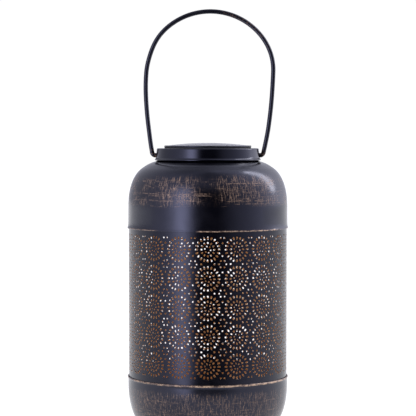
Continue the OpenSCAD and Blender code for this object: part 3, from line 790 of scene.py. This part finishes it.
inner_f = [tuple(q + nv for q in f[::-1]) for f in outer_f]
wall_f = [(b_, a_, a_ + nv, b_ + nv) for a_, b_ in walls]
all_f = outer_f + inner_f + wall_f
index = [0] * len(outer_f) + [1] * len(inner_f) + [2] * len(wall_f)
screen = new_object("screen_pierced", verts, all_f, [M_screen, M_in, M_cut], index, None)
me = screen.data
# true round normals on both faces, flat ones in the piercings
lv = np.zeros(len(me.loops), np.int32)
me.loops.foreach_get("vertex_index", lv)
pn = np.zeros(len(me.polygons) * 3, np.float32)
me.polygons.foreach_get("normal", pn)
pn = pn.reshape(-1, 3)
tot = np.zeros(len(me.polygons), np.int32)
me.polygons.foreach_get("loop_total", tot)
mi = np.zeros(len(me.polygons), np.int32)
me.polygons.foreach_get("material_index", mi)
pol = np.repeat(np.arange(len(tot)), tot)
co = np.zeros(len(me.vertices) * 3, np.float32)
me.vertices.foreach_get("co", co)
co = co.reshape(-1, 3)
rad = co[lv] * (1, 1, 0)
rad /= np.maximum(np.linalg.norm(rad, axis=1, keepdims=True), 1e-9)
kind = mi[pol]
nor = np.where((kind == 0)[:, None], rad, np.where((kind == 1)[:, None], -rad, pn[pol]))
# every rim and every corner of a piercing is a hard edge
ce = np.zeros(len(me.loops), np.int32)
me.loops.foreach_get("edge_index", ce)
lo_k, hi_k = np.full(len(me.edges), 9), np.full(len(me.edges), -1)
np.minimum.at(lo_k, ce, kind)
np.maximum.at(hi_k, ce, kind)
hard = (lo_k != hi_k) | (hi_k == 2)
at = me.attributes.get("sharp_edge") or me.attributes.new("sharp_edge", "BOOLEAN", "EDGE")
at.data.foreach_set("value", hard)
me.normals_split_custom_set([tuple(q) for q in nor.tolist()])
at = me.attributes.get("sharp_edge") or me.attributes.new("sharp_edge", "BOOLEAN", "EDGE")
at.data.foreach_set("value", hard)
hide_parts("perforated_screen")
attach(screen, "lantern_body")


# ---------------------------------------------------------------- bail
def bail_path():
    crown_r, crown_a, top, half_w, leg_r, hook_r, pz = 58.0, math.radians(45), 369.1, 56.1, 360.0, 3.0, 242.7
    cx, cz = crown_r * math.sin(crown_a), top - crown_r + crown_r * math.cos(crown_a)
    cr = (half_w - cx) / (1 - math.sin(crown_a))
    wz = cz - cr * math.cos(crown_a)
    la = math.asin((wz - pz - hook_r) / (leg_r - hook_r))
    hx = half_w - leg_r + (leg_r - hook_r) * math.cos(la)
    half = [(43.0, pz), (44.5, pz), (hx, pz)]
    for i in range(1, 10):
        a = -math.pi / 2 + (math.pi / 2 - la) * i / 10
        half.append((hx + hook_r * math.cos(a), pz + hook_r + hook_r * math.sin(a)))
    for i in range(14):
        a = -la + la * i / 14
        half.append((half_w - leg_r + leg_r * math.cos(a), wz + leg_r * math.sin(a)))
    for i in range(18):
        a = (math.pi / 2 - crown_a) * i / 18
        half.append((cx - cr * math.sin(crown_a) + cr * math.cos(a), wz + cr * math.sin(a)))
    for i in range(22):
        a = math.pi / 2 - crown_a + crown_a * i / 22
        half.append((crown_r * math.cos(a), top - crown_r + crown_r * math.sin(a)))
    return half + [(0.0, top)] + [(-x, z) for x, z in half[::-1]]


path = np.array(bail_path())
# the bent wire leans a little to one side at its crown
up = path[:, 1]
path[:, 0] += 0.6 * np.clip((up - 246) / 18, 0, 1) + 1.6 * np.clip((up - 262) / 100, 0, 1) ** 1.3
path[:, 0] += np.where(path[:, 0] < 0, 1.4, 0.4) * np.exp(-((up - 330) / 17) ** 2)
tan = np.gradient(path, axis=0)
tan /= np.linalg.norm(tan, axis=1, keepdims=True)
SIDES = 24
WIRE = 1.99
verts, faces = [], []
for (x, z), (tx, tz) in zip(path, tan):
    nxx, nzz = -tz, tx
    for q in range(SIDES):
        a = 2 * math.pi * q / SIDES
        verts.append(((x + WIRE * math.cos(a) * nxx) * MM, WIRE * math.sin(a) * MM, (z + WIRE * math.cos(a) * nzz) * MM))
n = len(path)
for i in range(n - 1):
    for q in range(SIDES):
        a, b = i * SIDES + q, i * SIDES + (q + 1) % SIDES
        faces.append((a, b, b + SIDES, a + SIDES))
# upset heads, turned on each end
for end, sg in ((0, 1), (n - 1, -1)):
    x0 = path[end][0]
    prev = [end * SIDES + q for q in range(SIDES)]
    for dx, rr in ((0.0, 2.6), (-0.15, 2.78), (-0.85, 2.78), (-1.1, 2.5), (-1.15, 1.9)):
        ring = []
        for q in range(SIDES):
            a = 2 * math.pi * q / SIDES
            tx, tz = tan[end]
            ring.append(len(verts))
            verts.append(((x0 + sg * dx + rr * math.cos(a) * (-tz)) * MM, rr * math.sin(a) * MM, (path[end][1] + rr * math.cos(a) * tx) * MM))
        for q in range(SIDES):
            q2 = (q + 1) % SIDES
            f = (prev[q], ring[q], ring[q2], prev[q2]) if end == 0 else (prev[q], prev[q2], ring[q2], ring[q])
            faces.append(f)
        prev = ring
    faces.append(tuple(prev) if end else tuple(prev[::-1]))
bail = new_object("bail_wire", verts, faces, [M_wire], None, 40)
bm = bmesh.new()
bm.from_mesh(bail.data)
bmesh.ops.recalc_face_normals(bm, faces=bm.faces)
bm.to_mesh(bail.data)
bm.free()
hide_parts("bail_handle")
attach(bail, "handle")


# ---------------------------------------------------------------- lamp module, carried-over CAD pieces
def assign(node, mat, smooth=30):
    o = N[node]
    o.data.materials.clear()
    o.data.materials.append(mat)
    for p_ in o.data.polygons:
        p_.material_index = 0


def plastic(name, base, lo, hi, scale=1300, bump=0.12):
    return plain_black(name, base, lo, hi, scale, bump)


def tinned(name, col=(0.62, 0.61, 0.58), rough=0.28):
    m = Mat(name)
    f = m.noise(m.scaled(900, 2600, 900), 1, 2.0, 0.5)
    return m.set(color=m.mix(m.step(f, 0.35, 0.65), col, tuple(c * 0.8 for c in col)), metal=1.0, rough=m.step(f, 0.3, 0.7, rough - 0.06, rough + 0.1),
                 normal=m.bump(f, 0.06, 0.0001))


M_abs = plastic("black_abs", (0.012, 0.012, 0.013), 0.32, 0.42)
M_cover = plastic("black_abs_cover", (0.014, 0.014, 0.015), 0.4, 0.52, 900, 0.2)
assign("module_housing", M_abs)
assign("module_bottom_cover", M_cover)
assign("battery_door", M_cover)
assign("switch_slider", plastic("switch_black", (0.01, 0.01, 0.01), 0.45, 0.55))
m = Mat("panel_laminate")
weave = m.math("MULTIPLY", m.math("SINE", m.math("MULTIPLY", m.x, 5200)), m.math("SINE", m.math("MULTIPLY", m.y, 5200)))
assign("panel_substrate", m.set(color=m.mix(m.step(weave, -0.4, 0.6), (0.010, 0.012, 0.013), (0.020, 0.024, 0.024)), rough=0.4))
m = Mat("silicon_cell")
finger = m.step(m.math("SINE", m.math("MULTIPLY", m.y, 2 * math.pi / 0.0016)), 0.93, 0.985)
grain = m.noise(m.co, 260, 3.0, 0.7)
cellc = m.mix(m.step(grain, 0.35, 0.65), (0.008, 0.012, 0.040), (0.016, 0.024, 0.075))
assign("solar_cells", m.set(color=m.mix(finger, cellc, (0.42, 0.43, 0.44)), metal=m.math("MULTIPLY", finger, 0.8), rough=m.step(grain, 0.3, 0.7, 0.22, 0.34)))
assign("cell_busbars", tinned("busbar_tin", (0.6, 0.6, 0.6), 0.3))
m = Mat("clear_cast_resin")
speck = m.noise(m.co, 320, 3.0, 0.6)
assign("panel_cover", m.set(color=(0.90, 0.93, 0.95), rough=m.step(speck, 0.3, 0.75, 0.05, 0.14), trans=1.0, ior=1.47,
                            normal=m.bump(m.noise(m.co, 60, 2.0, 0.5), 0.05, 0.0005)))
m = Mat("closed_cell_foam")
foam = m.noise(m.co, 2200, 3.0, 0.7)
assign("sealing_gasket", m.set(color=m.mix(m.step(foam, 0.35, 0.65), (0.016, 0.016, 0.017), (0.05, 0.05, 0.052)), rough=0.9, normal=m.bump(foam, 0.5, 0.0002)))
M_screw = tinned("screw_zinc", (0.55, 0.56, 0.57), 0.3)
for n_ in ("cover_screws", "battery_door_screw", "board_screws"):
    assign(n_, M_screw)
for n_ in ("battery_spring", "battery_contact_plate"):
    assign(n_, tinned(n_ + "_nickel", (0.66, 0.63, 0.58), 0.24))
m = Mat("cell_sleeve")
bandc = m.step(m.x, 0.0128, 0.0130)
cap = m.step(m.math("ABSOLUTE", m.x), 0.0240, 0.0241)
sl = m.mix(bandc, (0.02, 0.17, 0.06), (0.42, 0.42, 0.41))
assign("battery_cell", m.set(color=m.mix(cap, sl, (0.55, 0.54, 0.52)), metal=cap, rough=m.step(m.noise(m.co, 400, 2.0, 0.5), 0.3, 0.7, 0.24, 0.34)))
m = Mat("solder_mask")
trace = m.step(m.noise(m.scaled(520, 90, 520), 1, 1.0, 0.4), 0.52, 0.56)
assign("circuit_board", m.set(color=m.mix(trace, (0.006, 0.055, 0.020), (0.012, 0.10, 0.035)), rough=0.32, normal=m.bump(trace, 0.2, 0.00005)))
assign("board_components", plastic("component_black", (0.012, 0.012, 0.012), 0.4, 0.55, 2500, 0.15))
m = Mat("lamp_resin")
assign("led_lamp", m.set(color=(0.95, 0.86, 0.62), rough=m.step(m.noise(m.co, 800, 2.0, 0.5), 0.3, 0.7, 0.08, 0.16), trans=0.7, ior=1.5))
m = Mat("frosted_diffuser")
fr = m.noise(m.co, 1800, 2.0, 0.6)
assign("lamp_diffuser", m.set(color=(0.86, 0.84, 0.79), rough=m.step(fr, 0.3, 0.7, 0.45, 0.6), trans=0.35, ior=1.49, normal=m.bump(fr, 0.2, 0.0001)))
assign("switch_body", tinned("switch_frame_tin", (0.6, 0.6, 0.62), 0.32))
m = Mat("red_pvc")
assign("positive_leads", m.set(color=m.mix(m.noise(m.co, 500, 2.0, 0.5), (0.36, 0.015, 0.012), (0.48, 0.025, 0.02)), rough=0.38))
m = Mat("black_pvc")
assign("negative_leads", m.set(color=m.mix(m.noise(m.co, 500, 2.0, 0.5), (0.01, 0.01, 0.01), (0.02, 0.02, 0.02)), rough=0.38))
